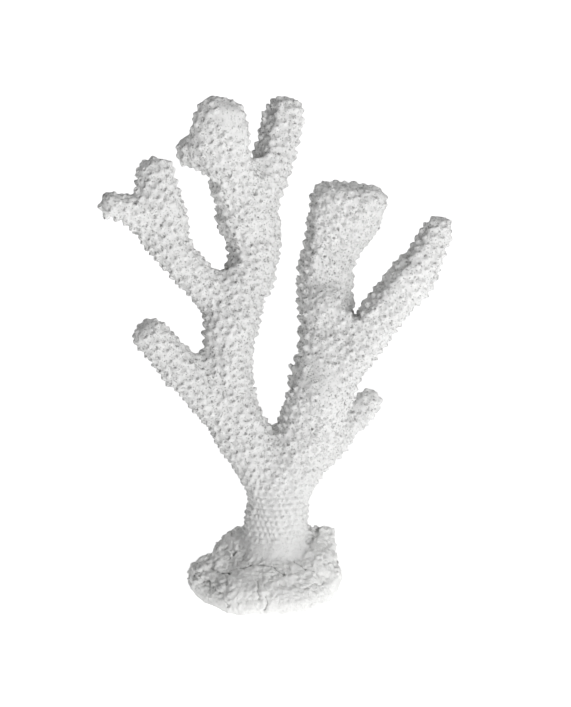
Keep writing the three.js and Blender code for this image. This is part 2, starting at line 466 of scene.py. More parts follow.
# Where two branches part: a line down the gap between them, as shares of boxes, and its half width.
PARTING_WINDOW, PARTING_BLEND = 20 * MM, 1.5 * MM
PARTINGS = (
    (("right_long_branch", 0.122, 0.5, 0.376), ("right_long_branch", 0.084, 0.5, 0.268), 2.5 * MM),
    (("centre_right_finger", -0.10, 0.5, 0.26), ("centre_right_finger", -0.03, 0.5, 0.17), 1.5 * MM),
)


def carry_on(field):
    """Fills the hollows where branches meet, and cuts the groove beside the low finger."""
    for node, shares, radius in SWELLINGS:
        field.add_ball(box_point(node, *shares), radius, SWELLING_BLEND)
    route = [box_point("right_stem", *shares) for shares in FINGER_GROOVE]
    field.cut_groove(route, GROOVE_RADIUS, GROOVE_WINDOW, GROOVE_BLEND)


def part_branches(field):
    """Cuts the gaps between branches right through, from front to back."""
    for start, end, half_width in PARTINGS:
        ends = np.stack((box_point(*start), box_point(*end)))
        window, places = field.block(ends.mean(axis=0), PARTING_WINDOW)
        away = line_distance(places * SEEN_FROM_FRONT, ends * SEEN_FROM_FRONT)
        cut = half_width - away
        field.values[window] = smooth_max(field.values[window], cut, PARTING_BLEND)


# Where the rock turns into coral: up the collar, out from the trunk's axis, and above the horn.
TRUNK_AXIS = (6 * MM, 0.0)
COLLAR, ROCK_EDGE, ROCK_TOP = (15 * MM, 31 * MM), (19 * MM, 25 * MM), (44 * MM, 52 * MM)


def rockiness(points):
    """1 on the rock of the foot, 0 on the coral, and between them on the collar."""
    out = np.hypot(points[:, 0] - TRUNK_AXIS[0], points[:, 1] - TRUNK_AXIS[1])
    low = 1.0 - ease(*COLLAR, points[:, 2])
    wide = ease(*ROCK_EDGE, out) * (1.0 - ease(*ROCK_TOP, points[:, 2]))
    return np.maximum(low, wide)


LUMP_BAND = 6 * COARSE_STEP
BROAD_LUMP, SMALL_LUMP, SMALL_LUMP_SHARE = 17 * MM, 7 * MM, 0.4


def add_lumps(field, height):
    """Broad, low swellings, so that no branch is as even as a pipe."""
    at, places = field.near(LUMP_BAND)
    small = SMALL_LUMP_SHARE * height * noise(places, SMALL_LUMP, 4)
    field.values[at] -= height * noise(places, BROAD_LUMP, 3) + small


# Flat faces on the left and the top of some branches, that end in a ridge: a line along the edge
# of the branch as shares of boxes, and the way that the face looks.
FLATS = (
    (("right_stem", 0.12, 0.47, 0.54), ("right_stem", 0.18, 0.65, 0.82), (-0.87, -0.47, 0.12)),
    (("right_stem", 0.18, 0.65, 0.82), ("right_upright", 0.01, 0.58, 0.29), (-0.87, -0.47, 0.12)),
    (("right_upright", 0.01, 0.58, 0.29), ("right_upright", 0.09, 0.57, 0.51), (-0.86, -0.47, 0.2)),
    (("centre_right_finger", 0.04, 0.46, 0.29), ("centre_right_finger", 0.23, 0.65, 0.79),
     (-0.77, -0.58, 0.26)),
    (("right_long_branch", 0.17, 0.47, 0.38), ("right_long_branch", 0.69, 0.55, 0.86),
     (-0.70, -0.42, 0.58)),
    (("right_upright", 0.42, 0.56, 0.985), ("right_upright", 0.84, 0.56, 0.95), (0.10, -0.50, 0.86)),
    (("right_upright", 0.05, 0.56, 0.60), ("right_upright", 0.17, 0.52, 0.93), (-0.60, -0.62, 0.50)),
    (("centre_stem", 0.29, 0.61, 0.18), ("centre_stem", 0.14, 0.58, 0.42), (-0.85, -0.5, 0.15)),
    (("centre_stem", 0.14, 0.58, 0.42), ("centre_stem", 0.07, 0.42, 0.70), (-0.85, -0.5, 0.15)),
)
FLAT_REACH = 17 * MM  # from its line, past which a flat face cuts nothing
FLAT_FADE = 0.7  # share of the reach at which the face begins to rise out of the branch
FLAT_RISE = 1.2  # how steeply it rises there
UNEVENNESS, UNEVEN_LENGTH = 1.0 * MM, 6 * MM
RIDGE_BLEND = 1.2 * MM


def flatten_faces(field):
    """Cuts the flat faces, each a little uneven."""
    for start, end, way in FLATS:
        start, end = box_point(*start), box_point(*end)
        length = np.linalg.norm(end - start)
        window, places = field.block(0.5 * (start + end), 0.5 * length + FLAT_REACH)
        share = np.clip((places - start) @ (end - start) / length**2, 0.0, 1.0)
        beside = places - start - share[..., None] * (end - start)
        away = np.linalg.norm(beside, axis=-1)
        fade = np.maximum(away, FLAT_REACH) * ease(FLAT_FADE * FLAT_REACH, FLAT_REACH, away)
        uneven = UNEVENNESS * noise(places.reshape(-1, 3), UNEVEN_LENGTH, 5).reshape(away.shape)
        face = beside @ np.array(way) - FLAT_RISE * fade + uneven
        field.values[window] = smooth_max(field.values[window], face, RIDGE_BLEND)


# ---------------------------------------------------------------------------------------------
# Cups
# ---------------------------------------------------------------------------------------------

# Heights at which growth starts, the cups begin, they turn from the trunk's into a branch's, and
# they are fully grown, and heights at which the rows of bumps on the trunk begin and end.
GROWTH_START = 22 * MM
CUPS_BEGIN, CUPS_TURN, CUPS_GROWN = (35 * MM, 45 * MM), (62 * MM, 85 * MM), (62 * MM, 98 * MM)
ROWS_BEGIN, ROWS_END = (32 * MM, 40 * MM), (72 * MM, 98 * MM)

# How the cups are spread and how much they differ, as shares.
SCATTERED = 90000  # places to choose from
PACKING = 0.86  # of the spacing, for the least distance between two chosen places
ROW_WIDTH = 0.12  # of the rows' pitch, on either side of a row's middle
DISORDER = 0.13  # of the cups' directions
HEIGHT_SPREAD, DEPTH_SPREAD, RADIUS_SPREAD = (0.72, 1.22), (0.4, 1.2), (0.85, 1.15)
FAINTEST_CUP = 0.08

# A cup's shape.
CUP_ROOT = 1.5 * MM
CUP_BLEND, FAINT_BLEND = 0.7 * MM, 1.8 * MM
LOW_CUP, TALL_CUP = 1.6 * MM, 3.2 * MM
LOW_TAPER, MORE_TAPER, ROOT_WIDTH = 0.42, 0.4, 1.2  # shares of the radius
FAINT_DEPTH, MORE_DEPTH = 0.3 * MM, 1.5 * MM
RIM_ROUNDING = 0.3 * MM
MOUTH_BLEND = 0.45 * MM
MOUTH_RADIUS, MOUTH_FLARE = 0.44, 0.25  # shares of the radius, and of the mouth's
MOUTH_EDGE = (-1.0 * MM, 0.5 * MM)  # heights about the rim in which the mouth widens

# The rows of bumps round the trunk.
TRUNK_RADIUS, ROW_PITCH, BUMP_PITCH = 17 * MM, 3.6 * MM, 3.6 * MM
ROW_WANDER, ROW_SHIFT = 0.5 * MM, 0.37
RIPPLE_BAND, RIPPLE_MIDDLE = 3 * MM, 0.45


class Cup(NamedTuple):
    """A small tube that stands on the skin."""

    foot: np.ndarray
    direction: np.ndarray
    radius: float
    height: float
    depth: float
    strength: float


def climb_distances(skin, edges, start):
    """How far each point is from the start points, along the skin's edges."""
    lengths = np.linalg.norm(skin.points[edges[:, 0]] - skin.points[edges[:, 1]], axis=1)
    neighbours = [[] for _ in skin.points]
    for (a, b), length in zip(edges.tolist(), lengths.tolist()):
        neighbours[a].append((b, length))
        neighbours[b].append((a, length))
    distances = [math.inf] * len(neighbours)
    heap = []
    for point in start.tolist():
        distances[point] = 0.0
        heap.append((0.0, point))
    while heap:
        distance, point = heapq.heappop(heap)
        if distance > distances[point]:
            continue
        for other, length in neighbours[point]:
            if distance + length < distances[other]:
                distances[other] = distance + length
                heapq.heappush(heap, (distance + length, other))
    return np.array(distances)


def growth_directions(skin, passes=25):
    """Directions along the skin in which the coral grew, shorter near the tips."""
    edges = skin.edges()
    start = np.nonzero(skin.points[:, 2] < GROWTH_START)[0]
    distances = climb_distances(skin, edges, start)
    a, b = edges.T
    step = skin.points[b] - skin.points[a]
    rise = step * ((distances[b] - distances[a]) / (step**2).sum(axis=1))[:, None]
    ends = np.concatenate((a, b))
    count = np.bincount(ends, minlength=len(skin.points))
    sums = [np.bincount(ends, np.tile(rise[:, k], 2), len(skin.points)) for k in range(3)]
    directions = skin.blurred(np.stack(sums / count, axis=1), passes)
    lengths = np.linalg.norm(directions, axis=1, keepdims=True)
    return directions / np.maximum(lengths, np.median(lengths))


def scatter(skin, count, random):
    """Random places on the skin, and a corner of the face that each is on."""
    corners = skin.corners()
    pick = corners[random.integers(len(corners), size=count)]
    u, v = random.random((2, count, 1))
    a, b, c, d = (skin.points[pick[:, k]] for k in range(4))
    return (a * (1 - u) + b * u) * (1 - v) + (d * (1 - u) + c * u) * v, pick[:, 0]


def tree_of(points):
    """A tree that finds the points near a place."""
    tree = KDTree(len(points))
    for number, point in enumerate(points):
        tree.insert(point, number)
    tree.balance()
    return tree


def spread_seeds(places, spacing, random, rounds=3):
    """Picks places about a spacing apart, and evens them out. Returns their numbers."""
    tree = tree_of(places)
    free = np.ones(len(places), bool)
    chosen = []
    for number in random.permutation(len(places)).tolist():
        if not free[number]:
            continue
        chosen.append(number)
        taken = [found[1] for found in tree.find_range(places[number], spacing[number])]
        free[taken] = False
    for _ in range(rounds):
        seeds = tree_of(places[chosen])
        nearest = np.array([seeds.find(place)[1] for place in places])
        count = np.maximum(np.bincount(nearest, minlength=len(chosen)), 1)
        means = [np.bincount(nearest, places[:, k], len(chosen)) / count for k in range(3)]
        chosen = [tree.find(mean)[1] for mean in np.stack(means, axis=1)]
    return np.unique(chosen)


# Patches where the cups differ: solid, shares of its box, radius, and how much fainter they are,
# which is below zero where they are longer.
PATCHES = (
    ("right_stem", (0.42, 0.0, 0.52), 24 * MM, 0.75),
    ("right_upright", (0.85, 0.25, 0.85), 18 * MM, 0.65),
    ("right_long_branch", (0.55, 0.0, 0.55), 26 * MM, 0.7),
    ("centre_left_head", (0.75, 0.1, 0.80), 18 * MM, 0.7),
    ("centre_left_head", (0.5, 0.5, 0.5), 40 * MM, 0.35),
    ("right_stem", (0.0, 0.5, 0.35), 32 * MM, -0.7),
    ("right_upright", (0.0, 0.5, 0.1), 30 * MM, -0.6),
    ("centre_right_finger", (0.0, 0.5, 0.45), 18 * MM, -0.5),
)


def cup_strength(places, normals, growth, sizes):
    """How fully the cups are formed at each place: none on the rock, low on the worn front."""
    facing = ease(0.15, 0.7, abs(normals @ FRONT))
    on_trunk = 0.5 - 0.32 * facing
    near_tip = 1.0 - ease(0.3, 0.9, np.linalg.norm(growth, axis=1))
    facing_up = ease(0.35, 0.85, normals[:, 2])
    strength = 1.0 - ease(0.35, 0.75, rockiness(places))
    strength *= ease(*CUPS_BEGIN, places[:, 2])
    strength *= on_trunk + (1.0 - on_trunk) * ease(*CUPS_GROWN, places[:, 2])
    strength *= 1.0 - 0.8 * near_tip
    strength *= 1.0 - 0.6 * facing_up
    strength *= 1.0 - (1.0 - sizes.front_share) * facing
    for node, shares, radius, bareness in PATCHES:
        away = np.linalg.norm(places - box_point(node, *shares), axis=1)
        near = 1.0 - ease(0.4 * radius, radius, away)
        strength *= 1.0 - bareness * near * (1.0 if bareness > 0 else 1.0 - facing)
    return strength * (1.0 + 0.25 * noise(places, 12 * MM, 21))


def trunk_share(places):
    """1 where the trunk has rows of bumps, 0 above and below them."""
    return ease(*ROWS_BEGIN, places[:, 2]) * (1.0 - ease(*ROWS_END, places[:, 2]))


def trunk_row(places):
    """The number of each place's row on the trunk, with the share of the row above it."""
    return (places[:, 2] + ROW_WANDER * noise(places, 16 * MM, 71)) / ROW_PITCH


def plan_cups(skin, sizes):
    """Every cup, from random places that are spread evenly, in rows on the trunk."""
    random = np.random.default_rng(sizes.seed)
    places, corner = scatter(skin, SCATTERED, random)
    on_row = abs(trunk_row(places) % 1.0 - 0.5) < ROW_WIDTH
    growing = (rockiness(places) < 0.6) & (on_row | (trunk_share(places) < 0.5))
    places, corner = places[growing], corner[growing]
    low = 1.0 - ease(*CUPS_TURN, places[:, 2])
    spacing = sizes.spacing + (sizes.trunk_spacing - sizes.spacing) * low
    chosen = spread_seeds(places, PACKING * spacing, random)
    feet, corner, spacing = places[chosen], corner[chosen], spacing[chosen]
    normals = skin.normals()[corner]
    growth = growth_directions(skin)[corner]
    strength = cup_strength(feet, normals, growth, sizes)
    directions = normals + sizes.lean * growth
    directions += DISORDER * random.normal(size=directions.shape)
    directions /= np.linalg.norm(directions, axis=1, keepdims=True)
    heights = sizes.height * strength * random.uniform(*HEIGHT_SPREAD, len(feet))
    depths = FAINT_DEPTH + MORE_DEPTH * np.minimum(strength, 1.0)
    depths *= random.uniform(*DEPTH_SPREAD, len(feet))
    radii = sizes.radius * spacing / sizes.spacing * random.uniform(*RADIUS_SPREAD, len(feet))
    cups = [Cup(*parts) for parts in zip(feet, directions, radii, heights, depths, strength)]
    return [cup for cup in cups if cup.strength > FAINTEST_CUP]


def around_cup(field, cup, centre, reach):
    """A window on the field, and how far its places are along and across a cup's middle line."""
    window, places = field.block(centre, reach)
    along = (places - cup.foot) @ cup.direction
    across = np.linalg.norm(places - cup.foot - along[..., None] * cup.direction, axis=-1)
    return window, along, across


def raise_cup(field, cup):
    """Joins a tapered tube to the field, with a soft root."""
    reach = cup.height + cup.radius + CUP_ROOT
    window, along, across = around_cup(field, cup, cup.foot, reach)
    narrowing = LOW_TAPER + MORE_TAPER * ease(LOW_CUP, TALL_CUP, cup.height)
    taper = ROOT_WIDTH - narrowing * np.clip(along / (cup.height + cup.radius), 0.0, 1.0)
    wall = across - cup.radius * taper + RIM_ROUNDING
    end = abs(along - 0.5 * (cup.height - CUP_ROOT)) - 0.5 * (cup.height + CUP_ROOT) + RIM_ROUNDING
    outside = np.hypot(np.maximum(wall, 0.0), np.maximum(end, 0.0))
    tube = outside + np.minimum(np.maximum(wall, end), 0.0) - RIM_ROUNDING
    blend = FAINT_BLEND + (CUP_BLEND - FAINT_BLEND) * min(cup.strength, 1.0)
    field.values[window] = smooth_min(field.values[window], tube, blend)


def hollow_cup(field, cup):
    """Cuts the opening of a tube, wider at its mouth."""
    mouth = cup.foot + cup.direction * cup.height
    window, along, across = around_cup(field, cup, mouth, cup.depth + cup.radius + MM)
    beyond = along - cup.height
    wall = across - MOUTH_RADIUS * cup.radius * (1.0 + MOUTH_FLARE * ease(*MOUTH_EDGE, beyond))
    opening = smooth_max(wall, -beyond - cup.depth, MOUTH_BLEND)
    field.values[window] = smooth_max(field.values[window], -opening, MOUTH_BLEND)


def add_cups(field, cups):
    """Raises every cup before any is hollowed, so that no cup closes another's mouth."""
    for cup in cups:
        raise_cup(field, cup)
    for cup in cups:
        hollow_cup(field, cup)


def ripple_trunk(field, height):
    """Rows of small low bumps round the trunk."""
    at, places = field.near(RIPPLE_BAND)
    share = trunk_share(places)
    keep = share > 0.01
    at, places, share = tuple(index[keep] for index in at), places[keep], share[keep]
    across, deep = places[:, 0] - TRUNK_AXIS[0], places[:, 1] - TRUNK_AXIS[1]
    around = np.arctan2(deep, across) * TRUNK_RADIUS
    row = trunk_row(places)
    shift = around / BUMP_PITCH + ROW_SHIFT * np.floor(row) + 0.5 * noise(places, 7 * MM, 72)
    bumps = np.sin(np.pi * (row % 1.0)) * (0.65 + 0.35 * np.cos(2 * np.pi * shift))
    field.values[at] -= height * share * (bumps - RIPPLE_MIDDLE)


# ---------------------------------------------------------------------------------------------
# The foot
# ---------------------------------------------------------------------------------------------

# Cracks over the foot, each a list of [turn in degrees, height], with 0 at the right, 90 at the
# back, 180 at the left and 270 at the front, and a width and a depth as shares of a deep crack's.
CRACKS = (
    (((226, 0.61), (240, 0.65), (256, 0.68), (270, 0.685), (284, 0.66), (293, 0.59)), 0.9, 1.0),
    (((196, 0.72), (206, 0.60), (216, 0.55), (227, 0.56)), 1.1, 0.9),
    (((186, 0.45), (200, 0.42), (213, 0.36), (224, 0.38), (236, 0.33)), 0.9, 0.7),
    (((236, 0.30), (241, 0.17)), 0.7, 0.8),
    (((262, 0.52), (266, 0.42), (264, 0.32)), 0.8, 0.8),
    (((270, 0.34), (273, 0.22), (271, 0.12)), 0.8, 0.9),
    (((296, 0.46), (308, 0.40), (322, 0.41), (334, 0.36)), 0.8, 0.7),
    (((312, 0.72), (322, 0.62), (330, 0.50)), 0.8, 0.8),
    (((340, 0.66), (352, 0.55), (4, 0.52), (18, 0.56)), 1.0, 0.9),
    (((60, 0.62), (75, 0.52), (92, 0.50), (110, 0.56)), 1.1, 1.0),
    (((100, 0.34), (114, 0.30), (130, 0.36)), 0.9, 0.8),
    (((140, 0.70), (152, 0.58), (163, 0.46), (170, 0.30)), 1.0, 0.9),
    (((36, 0.40), (44, 0.30), (54, 0.26)), 0.8, 0.8),
)
FOOT_REACH = 4.5 * MM  # from the skin, within which the rock may change it
CRACK_DEPTH = 1.6 * MM
CRACK_SPREAD = 42 * MM  # distance from the foot's middle at which the cracks are measured
CRACK_TOP = (38 * MM, 42 * MM)  # heights between which they end
COLLAR_TOP = (31 * MM, 35 * MM)

# The horn's nubs, each as shares of the foot's box and a radius, and the gap beside it.
NUBS = (
    ((0.882, 0.70, 0.922), 4.6 * MM),
    ((0.925, 0.688, 0.896), 3.8 * MM),
    ((0.828, 0.711, 0.930), 4.2 * MM),
    ((0.775, 0.725, 0.910), 4.6 * MM),
)
GAP = ((0.86, 0.70, 1.026), (0.826, 0.618, 0.935), (0.787, 0.534, 0.873), (0.747, 0.486, 0.839))
GAP_RADIUS, GAP_WINDOW, GAP_BLEND = 1.3 * MM, 22 * MM, 1.0 * MM
NUB_BLEND = 1.5 * MM
OUTSIDE = 200 * MM  # from the foot's middle, well outside it


def foot_point(tree, turn, up):
    """The point on the foot's outside at a turn round it and a share of its height."""
    low, high = (np.array(corner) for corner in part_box(FOOT))
    middle = 0.5 * (low + high)
    middle[2] = up * high[2]
    turned = math.radians(turn)
    outward = np.array((math.cos(turned), math.sin(turned), 0.0))
    found = tree.ray_cast(Vector(middle + OUTSIDE * outward), Vector(-outward))
    return np.array(found[0])


def shape_horn(field):
    """Nubs on the horn at the back right, and the gap between it and the trunk."""
    for shares, radius in NUBS:
        field.add_ball(box_point(FOOT, *shares), radius, NUB_BLEND)
    route = [box_point(FOOT, *shares) for shares in GAP]
    field.cut_groove(route, GAP_RADIUS, GAP_WINDOW, GAP_BLEND)


def rock_creases(places):
    """How rough the rock is at each place, and how deep its thin creases are, from 0 to 1."""
    above_rim = ease(4 * MM, 15 * MM, places[:, 2])
    middle = box_point(FOOT, 0.5, 0.5, 0.0)
    frontness = ease(-4 * MM, 22 * MM, middle[1] - places[:, 1])
    leftness = ease(8 * MM, 30 * MM, middle[0] - places[:, 0])
    rough = (0.25 + 0.75 * above_rim) * (1.0 - 0.5 * frontness * (1.0 - leftness))
    bend = np.stack([noise(places, 8 * MM, 40 + k) for k in range(3)], axis=1)
    bent = places + 1.6 * MM * bend
    wide = 1.0 - ease(0.0, 0.11, abs(noise(bent, 9 * MM, 38)))
    thin = 1.0 - ease(0.0, 0.13, abs(noise(bent, 4.6 * MM, 39)))
    there = ease(-0.5, 0.3, noise(places, 16 * MM, 43))
    return rough, (0.35 + 0.65 * rough) * there * np.minimum(wide + 0.8 * thin, 1.0)


def crack_depths(places, soup, sizes):
    """How deep the cracks are at each place, as a share of a deep crack."""
    tree = BVHTree.FromPolygons(soup.points.tolist(), soup.triangles.tolist())
    middle = box_point(FOOT, 0.5, 0.5, 0.0)

    def spread(points):
        """The points moved straight away from the foot's middle, to the same distance."""
        away = points - middle
        return CRACK_SPREAD * away / np.linalg.norm(away, axis=1, keepdims=True)

    wander = np.stack([noise(places, 4 * MM, 50 + k) for k in range(3)], axis=1)
    bent = spread(places + 0.9 * MM * wander)
    gap = line_distance(places, [box_point(FOOT, *shares) for shares in GAP])
    deepest = 1.0 - ease(GAP_RADIUS, 2.2 * GAP_RADIUS, gap)
    widening = 1.0 + 0.6 * noise(places, 3.5 * MM, 53)
    for path, width, depth in CRACKS:
        route = spread(np.array([foot_point(tree, turn, up) for turn, up in path]))
        away = line_distance(bent, route)
        share = 1.0 - ease(0.0, 2.0 * width * sizes.crack, away * widening)
        deepest = np.maximum(deepest, 0.85 * depth * share)
    return deepest * (1.0 - ease(*CRACK_TOP, places[:, 2]))


def roughen_foot(field, soup, sizes):
    """Ledges, hollows, knobs, creases and cracks over the rock."""
    at, places = field.near(FOOT_REACH)
    rocky = rockiness(places)
    keep = (rocky > 0.01) | (places[:, 2] < COLLAR_TOP[1])
    at, places, rocky = tuple(index[keep] for index in at), places[keep], rocky[keep]
    rough, creases = rock_creases(places)
    ledges = ridged(places * (1.0, 1.0, 1.4), 13 * MM, 31, octaves=4) - 0.62
    knobs = ease(0.0, 0.9, noise(places, 5.0 * MM, 35))
    crumbs = noise(places, 2.6 * MM, 37) + 0.6 * noise(places, 1.6 * MM, 34)
    pits = ease(0.42, 0.9, noise(places, 2.8 * MM, 36))
    fine = 0.3 * knobs + 0.42 * crumbs - 0.45 * pits
    relief = (0.3 + 0.5 * rough) * ledges + (0.2 + 0.8 * rough) * fine
    cracks = (1.0 - ease(*COLLAR_TOP, places[:, 2])) * crack_depths(places, soup, sizes)
    field.values[at] -= rocky * (sizes.relief * relief - sizes.crease * creases)
    field.values[at] += CRACK_DEPTH * cracks


# ---------------------------------------------------------------------------------------------
# The skin, and its parting into pieces
# ---------------------------------------------------------------------------------------------


GRAIN_LENGTH = 2.8 * MM
CAP_DEPTH = 2.2 * MM  # below the skin of the cone that closes a piece where it was parted
INWARD_PASSES = 16
CLEANING_ROUNDS = 12
CUP_MARKS = (0.0, 0.5, 1.0)  # shares of a cup's height
CUP_REACH = 4.0 * MM


def sculpt(skin_sizes, cup_sizes, foot_sizes):
    """The finished field, the solids that it was sculpted from, and its cups."""
    soup, owners = solid_soup()
    body = round_forks(soup, skin_sizes.fillet)
    add_lumps(body, skin_sizes.lumps)
    carry_on(body)
    part_branches(body)
    flatten_faces(body)
    smooth_skin = largest_part(body.skin())
    smooth_skin.points = smooth_skin.blurred(smooth_skin.points, SOFT_PASSES)
    field = Field(smooth_skin, skin_sizes.step, FOOT_REACH + 2 * skin_sizes.step)
    flatten_faces(field)
    shape_horn(field)
    roughen_foot(field, soup, foot_sizes)
    ripple_trunk(field, cup_sizes.trunk_rows)
    cups = plan_cups(smooth_skin, cup_sizes)
    add_cups(field, cups)
    at, places = field.near(2 * skin_sizes.step)
    field.values[at] -= skin_sizes.grain * fractal(places, GRAIN_LENGTH, 60, octaves=2)
    heights = (np.arange(field.values.shape[2]) + field.low[2]) * field.step
    field.values = np.maximum(field.values, -heights[None, None, :]).astype(np.float32)
    return field, soup, owners, cups


def hollowness(field, points):
    """How deep each point lies among its surroundings: 0 on a knob, 0.5 on a plain, 1 in a pit."""
    close = field.sample(field.crowding(CLOSE_RADIUS), points)
    wide = field.sample(field.crowding(WIDE_RADIUS), points)
    return close, wide


def owners_of(centres, soup, owners):
    """The number of the solid that each place on the skin is nearest to."""
    tree = BVHTree.FromPolygons(soup.points.tolist(), soup.triangles.tolist())
    return np.array([owners[tree.find_nearest(centre)[2]] for centre in centres])


def owners_with_cups(centres, soup, owners, cups):
    """The same, but with every cup whole, so that the borders run between the cups."""
    marks = [cup.foot + share * cup.height * cup.direction for cup in cups for share in CUP_MARKS]
    tree = tree_of(marks)
    found = [tree.find(centre)[1:] for centre in centres]
    index, distance = np.array(found).T
    of_cups = owners_of([cup.foot for cup in cups], soup, owners)
    of_cup = of_cups[index.astype(int) // len(CUP_MARKS)]
    return np.where(distance < CUP_REACH, of_cup, owners_of(centres, soup, owners))


def face_pairs(corners):
    """The ends of every edge of a closed skin, and the two faces beside it."""
    pairs = np.concatenate([corners[:, (k, (k + 1) % 4)] for k in range(4)])
    faces = np.tile(np.arange(len(corners)), 4)
    real = pairs[:, 0] != pairs[:, 1]
    pairs, faces = np.sort(pairs[real], axis=1), faces[real]
    order = np.lexsort((pairs[:, 1], pairs[:, 0]))
    return pairs[order][::2], faces[order].reshape(-1, 2)


def groups_of(count, pairs):
    """A number for each of count things, the same for all that pairs tie together."""
    group = np.arange(count)
    while True:
        ends = np.sort(group[pairs], axis=1)
        apart = ends[:, 0] != ends[:, 1]
        if not apart.any():
            return group
        group[ends[apart, 1]] = ends[apart, 0]
        while (group[group] != group).any():
            group = group[group]


def largest_part(skin):
    """The skin without the specks and bubbles that are not joined to it."""
    links = np.concatenate([skin.quads[:, k : k + 2] for k in range(3)]).astype(np.int64)
    group = groups_of(len(skin.points), links)
    main = np.bincount(group).argmax()
    used, quads = np.unique(skin.quads[group[skin.quads[:, 0]] == main], return_inverse=True)
    return Skin(skin.points[used], quads.reshape(-1, 4), skin.triangles[:0])


def drop_islands(owners, sides):
    """Gives the small scattered patches of each solid to the solid beside them."""
    same = owners[sides[:, 0]] == owners[sides[:, 1]]
    group = groups_of(len(owners), sides[same])
    sizes = np.bincount(group, minlength=len(owners))
    largest = np.zeros(owners.max() + 1, int)
    np.maximum.at(largest, owners, sizes[group])
    small = sizes[group] < largest[owners]
    taker = np.full(len(owners), -1)
    for one, other in ((0, 1), (1, 0)):
        border = small[sides[:, one]] & ~small[sides[:, other]]
        taker[group[sides[border, one]]] = owners[sides[border, other]]
    taken = small & (taker[group] >= 0)
    owners[taken] = taker[group][taken]
    return int(small.sum())


def part_at_pinches(owners, corners, ends, sides):
    """Closes each point where a piece would only touch itself, for the first solid there."""
    first = np.full(corners.max() + 1, owners.max())
    for k in range(4):
        np.minimum.at(first, corners[:, k], owners)
    pinched = np.zeros(len(first), bool)
    for number in np.unique(owners):
        border = (owners[sides] == number).sum(axis=1) == 1
        pinched |= np.bincount(ends[border].ravel(), minlength=len(first)) > 2
    for k in range(4):
        gained = pinched[corners[:, k]] & (owners > first[corners[:, k]])
        owners[gained] = first[corners[gained, k]]
    return int(pinched.sum())


def clean_owners(owners, corners):
    """Evens the numbers out, so that each solid's faces are one patch with plain borders."""
    ends, sides = face_pairs(corners)
    for _ in range(CLEANING_ROUNDS):
        islands = drop_islands(owners, sides)
        pinches = part_at_pinches(owners, corners, ends, sides)
        if not islands and not pinches:
            return owners
    raise RuntimeError("the borders between the pieces are still ragged")


def closed_piece(points, inward, faces):
    """A patch of the skin, closed at each ring where it was parted by a sunken flat cone."""
    directed = np.concatenate([faces[:, (k, (k + 1) % 4)] for k in range(4)])
    directed = directed[directed[:, 0] != directed[:, 1]]
    key = np.sort(directed, axis=1)
    _, first, count = np.unique(key, axis=0, return_index=True, return_counts=True)
    rim = directed[first[count == 1]]
    around = np.unique(rim)
    sunken = len(points) + np.searchsorted(around, rim)
    bands = np.stack((rim[:, 1], rim[:, 0], sunken[:, 0], sunken[:, 1]), axis=1)
    points = np.concatenate((points, points[around] + CAP_DEPTH * inward[around]))
    group = groups_of(len(points), sunken)[sunken[:, 0]]
    tips, cones = [], []
    for ring in (sunken[group == number] for number in np.unique(group)):
        tip = np.full(len(ring), len(points) + len(tips))
        tips.append(points[ring[:, 0]].mean(axis=0))
        cones.append(np.stack((ring[:, 1], ring[:, 0], tip, tip), axis=1))
    return np.concatenate((points, tips)), np.concatenate((faces, bands, *cones))


# ---------------------------------------------------------------------------------------------
# Meshes
# ---------------------------------------------------------------------------------------------


def mesh_of(name, points, corners):
    """A mesh from rows of four corners, and the numbers of the points that it uses."""
    used, corners = np.unique(corners, return_inverse=True)
    corners = corners.reshape(-1, 4)
    sides = np.where(corners[:, 2] == corners[:, 3], 3, 4)
    loops = corners[np.arange(4)[None, :] < sides[:, None]]
    mesh = bpy.data.meshes.new(name)
    mesh.vertices.add(len(used))
    mesh.vertices.foreach_set("co", points[used].ravel())
    mesh.loops.add(len(loops))
    mesh.loops.foreach_set("vertex_index", loops)
    mesh.polygons.add(len(sides))
    mesh.polygons.foreach_set("loop_start", np.cumsum(sides) - sides)
    mesh.update(calc_edges=True)
    return mesh, used


def store(mesh, name, values, domain="POINT", kind="FLOAT"):
    """Keeps a number for each point or face of a mesh."""
    mesh.attributes.new(name, kind, domain).data.foreach_set("value", values)


def stored(mesh, name, kind=float):
    """The numbers kept under a name."""
    values = np.empty(len(mesh.attributes[name].data), kind)
    mesh.attributes[name].data.foreach_get("value", values)
    return values


def store_skin(skin, field, owners, creased):
    """Keeps the skin as a mesh, with what each point and each face is like."""
    corners = skin.corners()
    mesh, _ = mesh_of(SKIN, skin.points, corners)
    close, wide = hollowness(field, skin.points)
    store(mesh, CLOSE, close)
    store(mesh, WIDE, wide)
    store(mesh, ROCKY, rockiness(skin.points))
    store(mesh, CREASED, creased)
    store(mesh, OWNER, owners, "FACE", "INT")


class Parting(NamedTuple):
    """The stored skin, and what it takes to part it into pieces."""

    skin: Skin
    owners: np.ndarray
    marks: dict
    normals: np.ndarray
    inward: np.ndarray


def kept_parting():
    """The skin that was kept, ready to be parted."""
    mesh = bpy.data.meshes[SKIN]
    points = np.empty(len(mesh.vertices) * 3)
    mesh.vertices.foreach_get("co", points)
    quads = np.empty(len(mesh.loops), np.int64)
    mesh.loops.foreach_get("vertex_index", quads)
    skin = Skin(points.reshape(-1, 3), quads.reshape(-1, 4), np.empty((0, 3), np.int64))
    marks = {name: stored(mesh, name) for name in (CLOSE, WIDE, ROCKY, CREASED)}
    normals = skin.normals()
    inward = -skin.blurred(normals, INWARD_PASSES)
    return Parting(skin, stored(mesh, OWNER, np.int32), marks, normals, inward)


